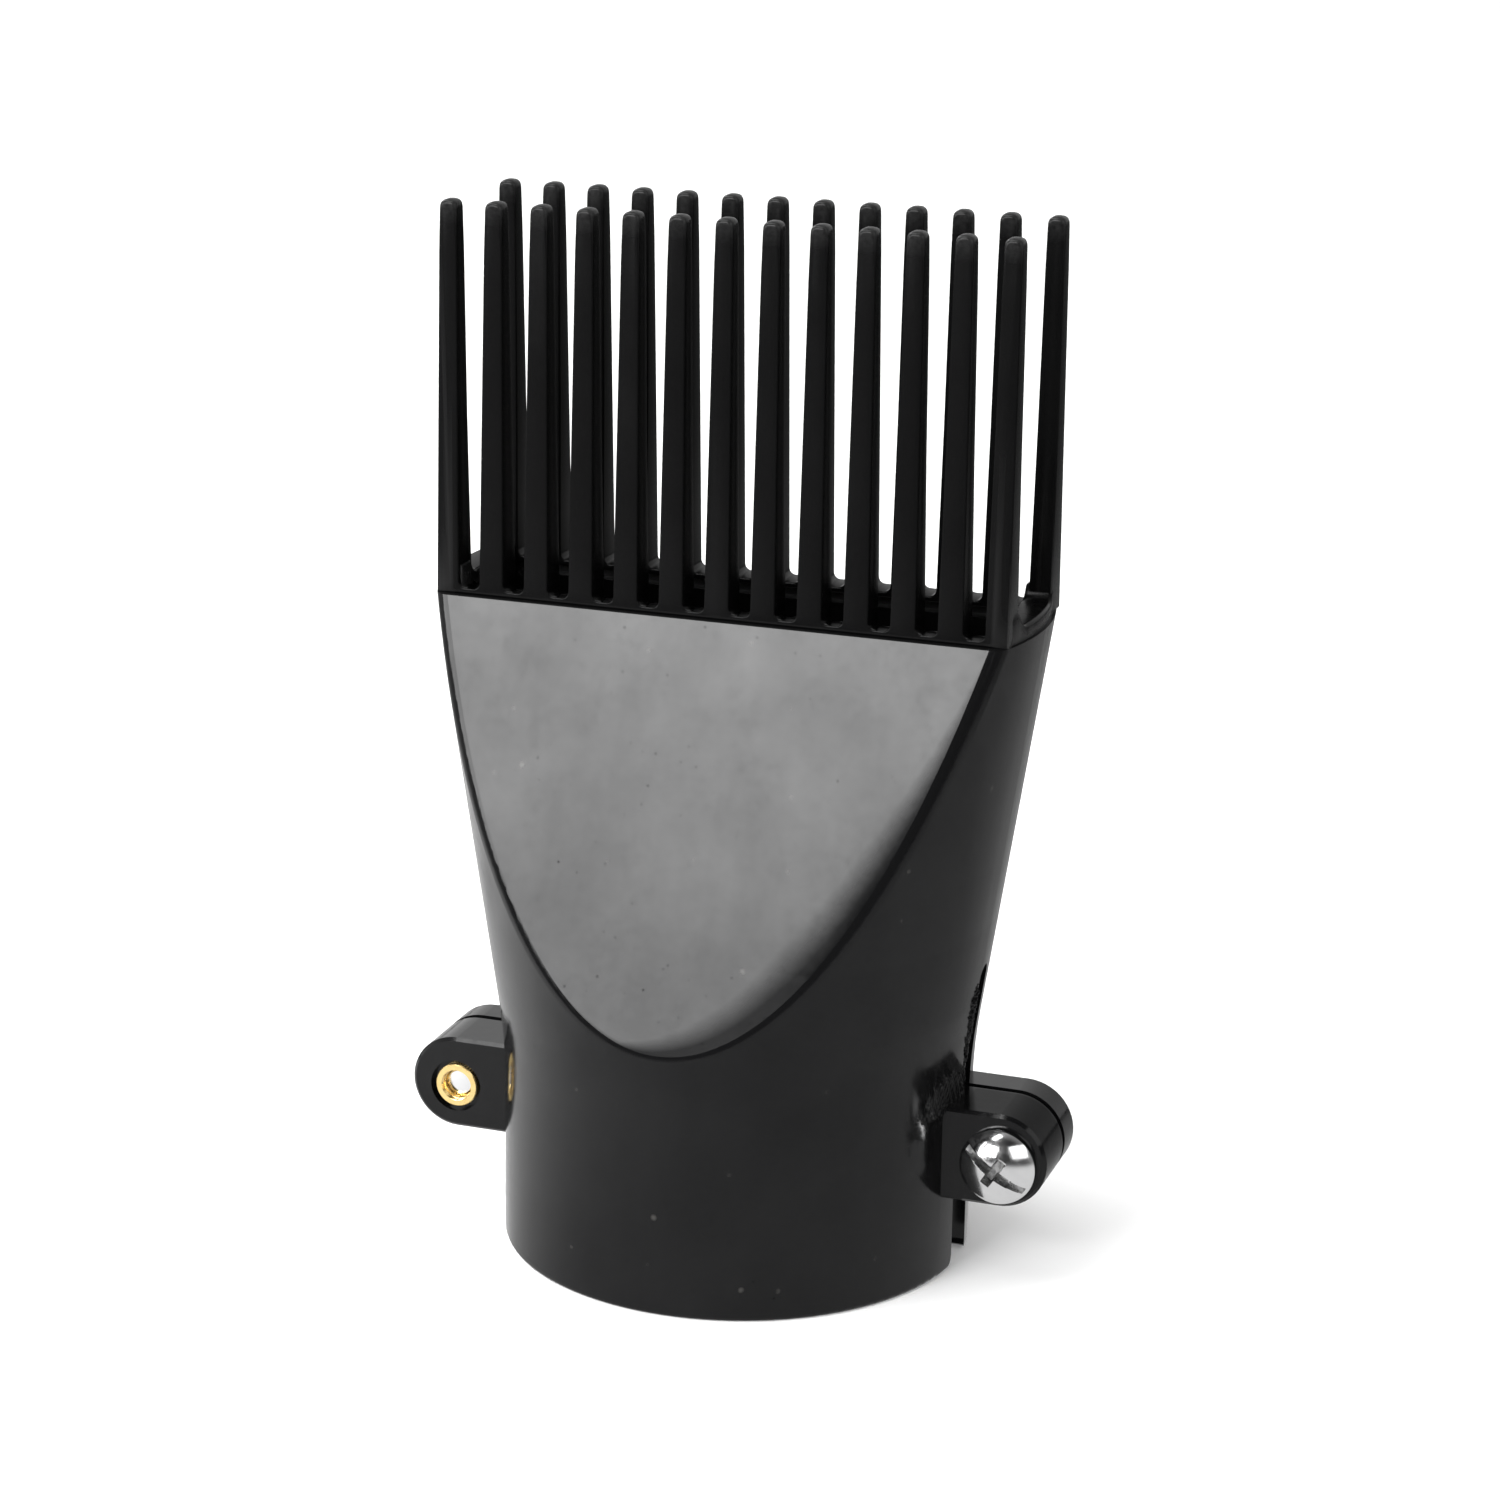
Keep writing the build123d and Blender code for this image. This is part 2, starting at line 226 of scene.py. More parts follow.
def comb_plug(name):
    """Base plate rim and the hollow plug that fits inside the mouth."""
    verts, faces, rings = [], [], []
    levels = [
        (63.0, 27.6, 8.0), (63.4, 28.0, 8.15), (70.0, 28.0, 8.15), (70.0, 29.5, 9.1), (70.3, 29.5, 9.1),
        (69.2, 28.2, 6.3), (68.8, 28.0, 6.1), (68.0, 27.3, 6.5), (63.0, 26.6, 6.5),
    ]
    for z, half_x, half_y in levels:
        ring = []
        corner = 1.2
        for cx, cy, start in ((1, 1, 0), (-1, 1, 90), (-1, -1, 180), (1, -1, 270)):
            for k in range(0, 7):
                a = math.radians(start + 15 * k)
                ring.append(len(verts))
                verts.append((cx * (half_x - corner) + corner * math.cos(a),
                              cy * (half_y - corner) + corner * math.sin(a), z))
        rings.append(ring)
    for a, b in zip(rings, rings[1:]):
        bridge(faces, a, b)
    bridge(faces, rings[-1], rings[0])
    return new_object(name, verts, faces, 40)


front_row = tooth_row("comb_front_row", -1, 0.0)
rear_row = tooth_row("comb_rear_row", 1, REAR_ROW_SHIFT)
right_rail = side_rail("comb_right_rail", 1)
left_rail = side_rail("comb_left_rail", -1)
plug = comb_plug("comb_plug")
comb_pieces = [front_row, rear_row, right_rail, left_rail, plug]
for piece in comb_pieces:
    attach(piece, BODY)
    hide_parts("comb")


# ---------------------------------------------------------------- screws and inserts
def lathe(profile, segments=96):
    """Turned solid round +Z from (radius, height) pairs; zero radius closes it."""
    verts, faces, rings = [], [], []
    for r, z in profile:
        if r < 1e-6:
            rings.append([len(verts)])
            verts.append((0, 0, z))
            continue
        ring = []
        for i in range(segments):
            a = 2 * math.pi * i / segments
            ring.append(len(verts))
            verts.append((r * math.cos(a), r * math.sin(a), z))
        rings.append(ring)
    for a, b in zip(rings, rings[1:]):
        if len(a) == 1:
            for i in range(segments):
                faces.append((a[0], b[i], b[(i + 1) % segments]))
        elif len(b) == 1:
            for i in range(segments):
                faces.append((b[0], a[(i + 1) % segments], a[i]))
        else:
            bridge(faces, a, b)
    return verts, faces


def box_mesh(x0, x1, y0, y1, z0, z1, taper=0.0):
    """Box whose foot at z0 is narrower than its top by taper on each side."""
    t = taper
    verts = [
        (x0 + t, y0 + t, z0), (x1 - t, y0 + t, z0), (x1 - t, y1 - t, z0), (x0 + t, y1 - t, z0),
        (x0, y0, z1), (x1, y0, z1), (x1, y1, z1), (x0, y1, z1),
    ]
    faces = [(3, 2, 1, 0), (4, 5, 6, 7), (0, 1, 5, 4), (1, 2, 6, 5), (2, 3, 7, 6), (3, 0, 4, 7)]
    return verts, faces


def apply_cuts(obj, cutters):
    """Cuts the meshes out of obj and leaves a plain mesh behind."""
    for c in cutters:
        mod = obj.modifiers.new("cut", "BOOLEAN")
        mod.operation = "DIFFERENCE"
        mod.solver = "EXACT"
        mod.object = c
    bevel = obj.modifiers.new("edge", "BEVEL")
    bevel.width = 0.05 * MM
    bevel.segments = 2
    bevel.limit_method = "ANGLE"
    bevel.angle_limit = math.radians(38)
    bevel.harden_normals = False
    depsgraph = bpy.context.evaluated_depsgraph_get()
    mesh = bpy.data.meshes.new_from_object(obj.evaluated_get(depsgraph))
    obj.modifiers.clear()
    obj.data = mesh
    for poly in mesh.polygons:
        poly.use_smooth = True
    mesh.set_sharp_from_angle(angle=math.radians(34))
    for c in cutters:
        bpy.data.objects.remove(c, do_unlink=True)


def place(obj, origin, toward, spin):
    """Stands the object's +Z along toward at origin (mm), spun about its own axis."""
    z = Vector(toward).normalized()
    x = Vector((1, 0, 0)) if toward[1] < 0 else Vector((-1, 0, 0))
    y = z.cross(x)
    basis = Matrix((x, y, z)).transposed().to_4x4()
    turn = Matrix.Rotation(math.radians(spin), 4, "Z")
    move = Matrix.Translation(Vector(origin) * MM)
    obj.data.transform(move @ basis @ turn)
    obj.data.update()


HEAD_R = 4.05
HEAD_H = 2.3
HEAD_LIP = 0.42
HEAD_ARC = math.radians(64)
HEAD_SEAT = 0.24
SCREW_R = 1.75
THREAD_CREST_R = 1.74
THREAD_ROOT_R = 1.42
THREAD_PITCH = 0.6


def dome_at(a):
    """Height of the truss head's outside at an angle of its arc."""
    low = math.cos(HEAD_ARC)
    return HEAD_LIP + (HEAD_H - HEAD_LIP) * (math.cos(a) - low) / (1 - low)


def dome(r):
    """Height of the truss head's outside at radius r."""
    return dome_at(math.asin(min(1.0, r * math.sin(HEAD_ARC) / HEAD_R)))


def mark_recess(screw):
    """Gives the walls and floor of the slot and cross their own material slot."""
    screw.data.materials.append(None)
    screw.data.materials.append(None)
    for poly in screw.data.polygons:
        x, y, z = (v / MM for v in poly.center)
        r = math.hypot(x, y)
        if r < 4.0 and 0.0 < z < dome(r) - 0.09:
            poly.material_index = 1


def clamp_screw(name, node, toward, spin):
    """Truss-head screw with a cross recess, a slot across the head and a threaded shank."""
    low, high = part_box(node)
    length = (high[1] - low[1]) / MM
    shank = length - HEAD_H
    profile = [(0, HEAD_H)]
    for k in range(1, 17):
        a = k / 16 * HEAD_ARC
        profile.append((HEAD_R * math.sin(a) / math.sin(HEAD_ARC), dome_at(a)))
    profile += [(HEAD_R, 0.3), (4.0, 0.06 - HEAD_SEAT), (3.85, -HEAD_SEAT), (1.9, -HEAD_SEAT),
                (SCREW_R, -HEAD_SEAT - 0.15)]
    # rolled thread: a plain neck, then ridges down to the part that the insert hides
    z = -0.6
    neck = shank - 6.2
    while z > -(shank - 4.2):
        if z < -neck * 0.35:
            profile += [(THREAD_CREST_R, z), (THREAD_CREST_R, z - 0.08), (THREAD_ROOT_R, z - 0.28),
                        (THREAD_ROOT_R, z - 0.36), (THREAD_CREST_R, z - 0.56)]
        z -= THREAD_PITCH
    profile += [(1.45, -(shank - 4.0)), (1.45, -(shank - 0.15)), (1.32, -shank), (0, -shank)]
    verts, faces = lathe(profile)
    screw = new_object(name, verts, faces)
    cuts = []
    v, f = box_mesh(-4.6, 4.6, -0.5, 0.5, HEAD_H - 1.45, HEAD_H + 1, 0.12)
    cuts.append(new_object("cut_slot", v, f))
    v, f = box_mesh(-2.2, 2.2, -0.62, 0.62, HEAD_H - 1.7, HEAD_H + 0.6, 0.28)
    cuts.append(new_object("cut_cross_a", v, f))
    v, f = box_mesh(-0.62, 0.62, -1.75, 1.75, HEAD_H - 1.7, HEAD_H + 0.6, 0.28)
    cuts.append(new_object("cut_cross_b", v, f))
    apply_cuts(screw, cuts)
    mark_recess(screw)
    at = centre(node)
    seat_y = (high[1] / MM - HEAD_H) if toward[1] > 0 else (low[1] / MM + HEAD_H)
    place(screw, (at.x, seat_y, at.z), toward, spin)
    return screw


def threaded_insert(name, node, toward):
    """Brass insert: knurled outside, chamfered mouth and a helical thread inside."""
    low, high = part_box(node)
    length = (high[1] - low[1]) / MM
    segments = 96
    bore_r, thread_h = 1.5, 0.2
    blind = 1.9
    wide, groove = 2.4, 2.12
    verts, faces, rings = [], [], []
    outside = [(0.0, wide, 0), (0.25, wide, 1), (length * 0.42, wide, 1), (length * 0.46, groove, 0),
               (length * 0.54, groove, 0), (length * 0.58, wide, 1), (length - 0.35, wide, 1),
               (length - 0.3, wide, 0), (length - 0.08, wide, 0), (length, 2.3, 0)]
    for z, r, knurl in outside:
        ring = []
        for i in range(segments):
            a = 2 * math.pi * i / segments
            rr = r - (0.07 * (i % 2) if knurl else 0.0)
            ring.append(len(verts))
            verts.append((rr * math.cos(a), rr * math.sin(a), z))
        rings.append(ring)
    rows = 64
    for k in range(rows + 1):
        z = length - length * k / rows
        depth = length - z
        ring = []
        for i in range(segments):
            a = 2 * math.pi * i / segments
            phase = (z / THREAD_PITCH + i / segments) % 1.0
            ridge = bore_r + thread_h * abs(2 * phase - 1)
            cone = THREAD_CREST_R - max(0.0, depth - 0.05) * 0.24
            if depth > length - blind:
                ridge = bore_r + thread_h
            rr = max(ridge, cone)
            ring.append(len(verts))
            verts.append((rr * math.cos(a), rr * math.sin(a), z))
        rings.append(ring)
    for a, b in zip(rings, rings[1:]):
        bridge(faces, a, b)
    bridge(faces, rings[-1], rings[0])
    insert = new_object(name, verts, faces, 28)
    at = centre(node)
    back = low[1] / MM if toward[1] > 0 else high[1] / MM
    place(insert, (at.x, back, at.z), toward, 0)
    return insert


right_screw = clamp_screw("right_clamp_screw_detail", "right_screw", (0, -1, 0), -33)
left_screw = clamp_screw("left_clamp_screw_detail", "left_screw", (0, 1, 0), 21)
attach(right_screw, "right_clamp_screw")
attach(left_screw, "left_clamp_screw")
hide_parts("right_screw")
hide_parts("left_screw")
left_insert = threaded_insert("left_insert_detail", "left_insert", (0, -1, 0))
right_insert = threaded_insert("right_insert_detail", "right_insert", (0, 1, 0))
for piece, node in ((left_insert, "left_insert"), (right_insert, "right_insert")):
    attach(piece, BODY)
    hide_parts(node)


# ---------------------------------------------------------------- melted flash by the slit
def ragged(u, v):
    """Smooth repeatable unevenness between about -1 and 1."""
    return (math.sin(3.1 * u + 1.7 * v) + math.sin(5.3 * u - 4.1 * v + 1.0)
            + math.sin(9.7 * u + 7.9 * v + 2.2) * 0.7 + math.sin(17.0 * v - 11.0 * u) * 0.5) / 3.2


COLLAR_R = 25.0
KNEE_Z = 22.0
MOUTH_R = 32.0


def slit_flash(name):
    """Uneven melted plastic over the root of the right lug and up the front edge of the slit."""
    across, along = 110, 150
    low_a, high_a, low_z, high_z = -23.0, -0.8, 18.4, 31.5
    heights = []
    for j in range(along + 1):
        z = lerp(low_z, high_z, j / along)
        line = []
        for i in range(across + 1):
            a = lerp(low_a, high_a, i / across)
            u, v = a * 0.22, z * 0.45
            blob = 1.0 - math.hypot((a + 11.0) / 11.0, (z - 19.6) / 3.4)
            seam = 1.0 - abs(a + 1.6 + 0.7 * ragged(v * 1.3, u)) / (1.5 + 0.9 * ragged(v * 2.0, 0.3))
            seam = min(seam, (31.0 - z) / 2.5)
            edge = max(blob, seam * 0.5) + 0.3 * ragged(u * 2.1, v * 2.3)
            rise = max(0.0, min(1.0, edge * 4.0)) * (0.27 + 0.16 * ragged(u * 3.7 + 2.0, v * 3.1))
            if i in (0, across) or j in (0, along):
                rise = 0.0
            line.append(rise)
        heights.append(line)
    verts, faces = [], []
    for base, uneven in ((-0.06, True), (-0.6, False)):
        for j in range(along + 1):
            z = lerp(low_z, high_z, j / along)
            wall = COLLAR_R + max(0.0, z - KNEE_Z) * (MOUTH_R - COLLAR_R) / (MOUTH_Z - KNEE_Z)
            for i in range(across + 1):
                a = math.radians(lerp(low_a, high_a, i / across))
                radius = wall + base + (heights[j][i] if uneven else 0.0)
                verts.append((radius * math.cos(a), radius * math.sin(a), z))
    row = across + 1
    sheet = row * (along + 1)
    for j in range(along):
        for i in range(across):
            k = j * row + i
            faces.append((k, k + 1, k + row + 1, k + row))
            faces.append((sheet + k + row, sheet + k + row + 1, sheet + k + 1, sheet + k))
    rim = [i for i in range(row)] + [j * row + across for j in range(1, along + 1)]
    rim += [along * row + i for i in range(across - 1, -1, -1)] + [j * row for j in range(along - 1, 0, -1)]
    for a, b in zip(rim, rim[1:] + rim[:1]):
        faces.append((b, a, sheet + a, sheet + b))
    return new_object(name, verts, faces, 60)


flash = slit_flash("right_slit_flash")
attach(flash, BODY)


# ---------------------------------------------------------------- materials
class Nodes:
    """Short way to build a node tree."""

    def __init__(self, owner, clear=True):
        owner.use_nodes = True
        self.tree = owner.node_tree
        if clear:
            self.tree.nodes.clear()

    def add(self, kind, **settings):
        node = self.tree.nodes.new(kind)
        for key, value in settings.items():
            setattr(node, key, value)
        return node

    def link(self, a, b):
        self.tree.links.new(a, b)

    def noise(self, coords, scale, detail=2.0, rough=0.5):
        node = self.add("ShaderNodeTexNoise")
        node.inputs["Scale"].default_value = scale
        node.inputs["Detail"].default_value = detail
        node.inputs["Roughness"].default_value = rough
        self.link(coords, node.inputs["Vector"])
        return node.outputs["Fac"]

    def remap(self, value, a, b, c, d):
        node = self.add("ShaderNodeMapRange")
        node.inputs["From Min"].default_value = a
        node.inputs["From Max"].default_value = b
        node.inputs["To Min"].default_value = c
        node.inputs["To Max"].default_value = d
        self.link(value, node.inputs["Value"])
        return node.outputs["Result"]

    def math(self, op, a, b):
        node = self.add("ShaderNodeMath", operation=op)
        for socket, value in ((node.inputs[0], a), (node.inputs[1], b)):
            if isinstance(value, (int, float)):
                socket.default_value = value
            else:
                self.link(value, socket)
        return node.outputs[0]

    def mix_colour(self, fac, a, b):
        node = self.add("ShaderNodeMix", data_type="RGBA")
        if isinstance(fac, (int, float)):
            node.inputs[0].default_value = fac
        else:
            self.link(fac, node.inputs[0])
        for socket, value in ((node.inputs[6], a), (node.inputs[7], b)):
            if isinstance(value, tuple):
                socket.default_value = value
            else:
                self.link(value, socket)
        return node.outputs[2]

    def bump(self, height, strength, distance, normal=None):
        node = self.add("ShaderNodeBump")
        node.inputs["Strength"].default_value = strength
        node.inputs["Distance"].default_value = distance
        self.link(height, node.inputs["Height"])
        if normal is not None:
            self.link(normal, node.inputs["Normal"])
        return node.outputs["Normal"]


def start_material(name):
    """New material with its node helper, the shaded point and a principled shader."""
    mat = bpy.data.materials.new(name)
    n = Nodes(mat)
    where = n.add("ShaderNodeNewGeometry").outputs["Position"]
    out = n.add("ShaderNodeOutputMaterial")
    shader = n.add("ShaderNodeBsdfPrincipled")
    n.link(shader.outputs[0], out.inputs[0])
    return mat, n, where, shader


def gloss_plastic():
    """Polished black moulding: faint orange peel, dust specks, fine rub marks, and painted shade as a fainter
    reflection beside the panel ridges and on the right lug.
    """
    mat, n, where, shader = start_material("gloss_black_plastic_detail")
    grain = n.noise(where, 900, 5.0, 0.62)
    cloud = n.noise(where, 160, 3.0, 0.55)
    speck = n.add("ShaderNodeTexVoronoi", feature="F1")
    speck.inputs["Scale"].default_value = 300
    n.link(where, speck.inputs["Vector"])
    dust = n.remap(speck.outputs["Distance"], 0.05, 0.12, 1.0, 0.0)
    dust = n.math("MULTIPLY", dust, n.remap(n.noise(where, 300, 1.0), 0.56, 0.66, 0.0, 0.6))
    pits = n.add("ShaderNodeTexVoronoi", feature="F1")
    pits.inputs["Scale"].default_value = 620
    n.link(where, pits.inputs["Vector"])
    pit = n.remap(pits.outputs["Distance"], 0.05, 0.14, 0.45, 0.0)
    pit = n.math("MULTIPLY", pit, n.remap(n.noise(where, 110, 3.0), 0.48, 0.62, 0.0, 1.0))
    colour = n.mix_colour(dust, (0.0038, 0.0038, 0.0040, 1), (0.05, 0.048, 0.045, 1))
    n.link(colour, shader.inputs["Base Color"])
    rough = n.remap(grain, 0.35, 0.7, 0.07, 0.17)
    rough = n.math("ADD", rough, n.remap(cloud, 0.4, 0.65, 0.0, 0.05))
    n.link(rough, shader.inputs["Roughness"])
    haze = n.noise(where, 75, 4.0, 0.6)
    streak = n.add("ShaderNodeMapping")
    streak.inputs["Scale"].default_value = (1.0, 0.3, 0.22)
    n.link(where, streak.inputs["Vector"])
    haze = n.math("ADD", haze, n.math("MULTIPLY", n.noise(streak.outputs[0], 420, 3.0, 0.6), 0.25))
    side = n.add("ShaderNodeSeparateXYZ")
    n.link(where, side.inputs[0])
    # Painted shade: the top and sides of the front half of the right lug get a fainter reflection (IOR 1.2
    # instead of 1.49).
    painted_lug_shade = n.math("MULTIPLY", n.remap(side.outputs["X"], 0.0254, 0.0262, 0.0, 1.0),
                  n.remap(side.outputs["Y"], 0.0008, 0.0014, 1.0, 0.0))
    painted_lug_shade = n.math("MULTIPLY", painted_lug_shade, n.remap(side.outputs["Z"], 0.0193, 0.0203, 1.0, 0.0))
    facing = n.add("ShaderNodeSeparateXYZ")
    n.link(n.add("ShaderNodeNewGeometry").outputs["Normal"], facing.inputs[0])
    painted_lug_shade = n.math("MULTIPLY", painted_lug_shade, n.remap(facing.outputs["Y"], -0.5, -0.3, 0.0, 1.0))
    n.link(n.remap(painted_lug_shade, 0.0, 1.0, 1.49, 1.2), shader.inputs["IOR"])
    level = n.math("SUBTRACT", n.remap(haze, 0.4, 0.85, 0.225, 0.31), n.math("MULTIPLY", pit, 0.25))
    # Painted shade: a band of weaker reflection beside the ridges where the panel meets the round wall, wider on
    # the right and towards the bottom, stands in for the panel's soft turn there.
    ridge_shade_width = n.math("MULTIPLY", n.remap(side.outputs["X"], -0.004, 0.012, 0.0004, 0.0034),
                   n.remap(side.outputs["Z"], 0.050, 0.070, 1.0, 0.35))
    painted_ridge_shade = n.math("SUBTRACT", 1.0, n.math("DIVIDE", ridge_distance(n, side.outputs), ridge_shade_width))
    painted_ridge_shade = n.math("MULTIPLY", n.remap(painted_ridge_shade, 0.0, 0.65, 0.0, 0.85),
                  n.remap(facing.outputs["Z"], 0.03, 0.15, 0.0, 1.0))
    painted_ridge_shade = n.math("MULTIPLY", painted_ridge_shade, n.remap(side.outputs["Z"], 0.0265, 0.0275, 0.0, 1.0))
    level = n.math("MULTIPLY", level, n.math("SUBTRACT", 1.0, painted_ridge_shade))
    n.link(level, shader.inputs["Specular IOR Level"])
    peel = n.bump(cloud, 0.04, 0.0002)
    fine = n.bump(grain, 0.12, 0.00005, peel)
    n.link(n.bump(panel_edge(n, side.outputs), 1.0, 1.0, fine), shader.inputs["Normal"])
    return mat


def ridge_distance(n, place_of):
    """How far a point lies inside the round wall of the shells: zero on the wall, growing over the panel."""
    x, y, z = place_of
    out = n.math("SQRT", n.math("ADD", n.math("MULTIPLY", x, x), n.math("MULTIPLY", y, y)), 0.0)
    wall = n.remap(z, KNEE_Z * MM, MOUTH_Z * MM, COLLAR_R * MM, MOUTH_R * MM)
    return n.math("MAXIMUM", n.math("SUBTRACT", wall, out), 0.0)


def panel_edge(n, place_of):
    """Height of the soft turn, about 0.3 mm, that the flat panel takes before its lower right ridge."""
    x, _, z = place_of
    fall = n.math("POWER", 2.718, n.math("MULTIPLY", ridge_distance(n, place_of), -560.0))
    fade = n.math("MULTIPLY", n.remap(z, 0.045, 0.067, 1.0, 0.0), n.remap(x, -0.02, 0.004, 0.15, 1.0))
    fade = n.math("MULTIPLY", fade, n.remap(z, 0.029, 0.038, 0.0, 1.0))
    return n.math("MULTIPLY", n.math("MULTIPLY", fall, fade), -0.0003)


def satin_plastic():
    """Dark satin moulding with a fine spark-eroded grain, rubbed tooth tips, edges lightened partly by rubbing
    wear and partly by a painted highlight, and painted shade on the up-facing slot floors.
    """
    mat, n, where, shader = start_material("satin_black_plastic_detail")
    edge = n.add("ShaderNodeNewGeometry").outputs["Pointiness"]
    grain = n.noise(where, 2600, 3.0, 0.6)
    cloud = n.noise(where, 90, 3.0, 0.5)
    # Sharp edges (high pointiness) turn grey: partly wear, partly a painted highlight along the bevels.
    wear_and_painted_highlight = n.remap(edge, 0.53, 0.6, 0.0, 0.7)
    base = n.mix_colour(cloud, (0.0018, 0.0018, 0.0019, 1), (0.0030, 0.0030, 0.0031, 1))
    height = n.add("ShaderNodeSeparateXYZ")
    n.link(where, height.inputs[0])
    rub = n.math("MULTIPLY", n.remap(height.outputs["Z"], 0.108, 0.1105, 0.0, 1.0),
                 n.remap(grain, 0.3, 0.7, 0.2, 1.0))
    base = n.mix_colour(rub, base, (0.016, 0.016, 0.016, 1))
    colour = n.mix_colour(wear_and_painted_highlight, base, (0.05, 0.05, 0.05, 1))
    n.link(colour, shader.inputs["Base Color"])
    facing = n.add("ShaderNodeSeparateXYZ")
    n.link(n.add("ShaderNodeNewGeometry").outputs["Normal"], facing.inputs[0])
    # Painted shade: up-facing faces, mainly the slot floors, get a fainter reflection (IOR 1.08 instead of 1.2)
    # and a little more roughness.
    shaded_slot_floor = n.remap(facing.outputs["Z"], 0.86, 0.99, 0.0, 1.0)
    polish = n.remap(cloud, 0.3, 0.7, 0.18, 0.26)
    n.link(n.math("ADD", polish, n.math("MULTIPLY", shaded_slot_floor, 0.05)), shader.inputs["Roughness"])
    n.link(n.remap(shaded_slot_floor, 0.0, 1.0, 1.2, 1.08), shader.inputs["IOR"])
    n.link(n.bump(grain, 0.25, 0.00004), shader.inputs["Normal"])
    return mat


def chrome():
    """Bright plated steel with faint polishing lines."""
    mat, n, where, shader = start_material("chrome_detail")
    cloud = n.noise(where, 700, 3.0, 0.6)
    fine = n.noise(where, 6000, 2.0, 0.6)
    colour = n.mix_colour(cloud, (0.93, 0.93, 0.93, 1), (0.84, 0.84, 0.85, 1))
    n.link(colour, shader.inputs["Base Color"])
    shader.inputs["Metallic"].default_value = 1.0
    n.link(n.remap(cloud, 0.35, 0.7, 0.10, 0.22), shader.inputs["Roughness"])
    n.link(n.bump(fine, 0.12, 0.00002), shader.inputs["Normal"])
    return mat


def recess():
    """Plating inside the slot and the cross of a screw, darkened as painted shade and rougher than the head."""
    mat, n, where, shader = start_material("chrome_recess_painted_shade_detail")
    cloud = n.noise(where, 1500, 3.0, 0.6)
    # Painted shade: the recess colour is far darker than the head's chrome.
    colour = n.mix_colour(n.remap(cloud, 0.4, 0.6, 0.0, 1.0), (0.55, 0.55, 0.55, 1), (0.24, 0.24, 0.24, 1))
    n.link(colour, shader.inputs["Base Color"])
    shader.inputs["Metallic"].default_value = 1.0
    n.link(n.remap(cloud, 0.35, 0.7, 0.25, 0.4), shader.inputs["Roughness"])
    return mat


def brass():
    """Turned brass, slightly tarnished."""
    mat, n, where, shader = start_material("brass_detail")
    cloud = n.noise(where, 900, 3.0, 0.6)
    fine = n.noise(where, 5000, 2.0, 0.6)
    colour = n.mix_colour(n.remap(cloud, 0.4, 0.7, 0.0, 0.6), (1.0, 0.76, 0.34, 1), (0.82, 0.55, 0.2, 1))
    n.link(colour, shader.inputs["Base Color"])
    shader.inputs["Metallic"].default_value = 1.0
    n.link(n.remap(cloud, 0.35, 0.7, 0.2, 0.34), shader.inputs["Roughness"])
    n.link(n.bump(fine, 0.15, 0.00002), shader.inputs["Normal"])
    return mat


def paint(obj, mat):
    if not obj.material_slots:
        obj.data.materials.append(mat)
    for slot in obj.material_slots:
        slot.material = mat


gloss = gloss_plastic()
satin = satin_plastic()
chrome_mat = chrome()
brass_mat = brass()
for name in ("front_shell", "rear_shell"):
    paint(frame["nodes"][name], gloss)
paint(frame["nodes"]["comb"], satin)
for name in ("left_screw", "right_screw"):
    paint(frame["nodes"][name], chrome_mat)
for name in ("left_insert", "right_insert"):
    paint(frame["nodes"][name], brass_mat)
for piece in comb_pieces:
    paint(piece, satin)
paint(flash, gloss)
recess_shade_mat = recess()
for piece in (right_screw, left_screw):
    paint(piece, chrome_mat)
    piece.material_slots[1].material = recess_shade_mat
for piece in (left_insert, right_insert):
    paint(piece, brass_mat)


# ---------------------------------------------------------------- floor and world
def floor():
    half = 6.0
    mesh = bpy.data.meshes.new("floor")
    mesh.from_pydata([(-half, -half, 0), (half, -half, 0), (half, half, 0), (-half, half, 0)], [], [(0, 1, 2, 3)])
    obj = bpy.data.objects.new("floor", mesh)
    bpy.context.scene.collection.objects.link(obj)
    obj.location.z = -0.00002
    mat = bpy.data.materials.new("floor_paper")
    n = Nodes(mat)
    out = n.add("ShaderNodeOutputMaterial")
    diffuse = n.add("ShaderNodeBsdfDiffuse")
    diffuse.inputs["Color"].default_value = (0.9, 0.9, 0.9, 1)
    glow = n.add("ShaderNodeEmission")
    position = n.add("ShaderNodeNewGeometry").outputs["Position"]
    length = n.add("ShaderNodeVectorMath", operation="LENGTH")
    n.link(position, length.inputs[0])
    split = n.add("ShaderNodeSeparateXYZ")
    n.link(position, split.inputs[0])
    level = n.math("MULTIPLY", n.remap(length.outputs["Value"], 0.10, 0.42, 0.68, 0.16),
                   n.remap(split.outputs["X"], -0.14, 0.0, 2.8, 1.0))
    level = n.math("MULTIPLY", level, n.remap(split.outputs["Y"], -0.01, 0.05, 1.0, 0.6))
    n.link(level, glow.inputs["Strength"])
    white = n.add("ShaderNodeEmission")
    white.inputs["Strength"].default_value = 0.12
    paper = n.add("ShaderNodeAddShader")
    n.link(diffuse.outputs[0], paper.inputs[0])
    n.link(white.outputs[0], paper.inputs[1])
    ray = n.add("ShaderNodeLightPath")
    mix = n.add("ShaderNodeMixShader")
    n.link(ray.outputs["Is Glossy Ray"], mix.inputs[0])
    n.link(paper.outputs[0], mix.inputs[1])
    n.link(glow.outputs[0], mix.inputs[2])
    n.link(mix.outputs[0], out.inputs[0])
    obj.data.materials.append(mat)


